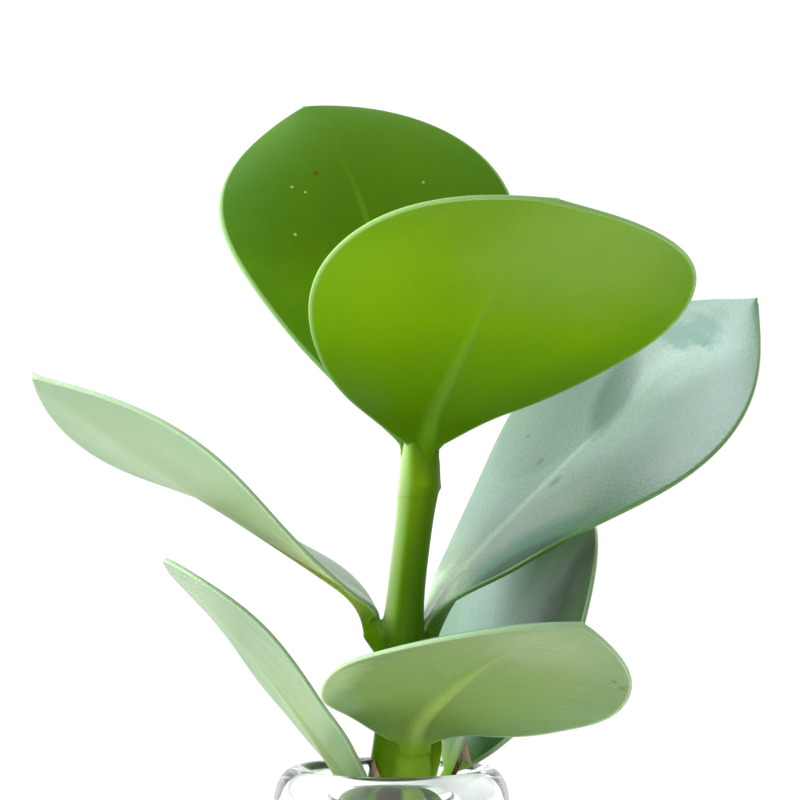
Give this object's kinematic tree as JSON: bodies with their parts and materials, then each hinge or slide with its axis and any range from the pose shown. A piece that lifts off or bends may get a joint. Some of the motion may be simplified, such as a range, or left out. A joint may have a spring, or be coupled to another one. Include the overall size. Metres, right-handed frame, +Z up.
{
  "type": "clusia cutting in a glass bottle",
  "caption": "Young clusia shoot with thick paddle-shaped leaves in opposite pairs, standing in water in a clear round glass bottle with a rolled lip.",
  "frame": {"origin": "centre of the bottle's flat base, on the surface it stands on", "axes": "+Z up along the bottle's axis, -Y towards the viewer, +X to the viewer's right"},
  "size_m": [0.1387, 0.1156, 0.2502],
  "materials": {
    "glass": "clear, fire-polished",
    "water": "clear, still",
    "stem": "smooth green plant skin, satin",
    "young_leaf": "waxy, satin",
    "mature_leaf": "waxy, with a pale bloom",
    "dry_scale": "dry, papery, matt"
  },
  "bodies": {
    "root": {"bottle": "glass", "water": "water", "stem": "stem", "leaf_top_back": "young_leaf", "leaf_top_front": "young_leaf", "leaf_middle_left": "mature_leaf", "leaf_middle_right": "mature_leaf", "leaf_low_back": "mature_leaf", "leaf_low_front": "mature_leaf", "leaf_low_left": "mature_leaf", "bud_scale_left": "dry_scale", "bud_scale_right": "dry_scale"}
  },
  "joints": []
}
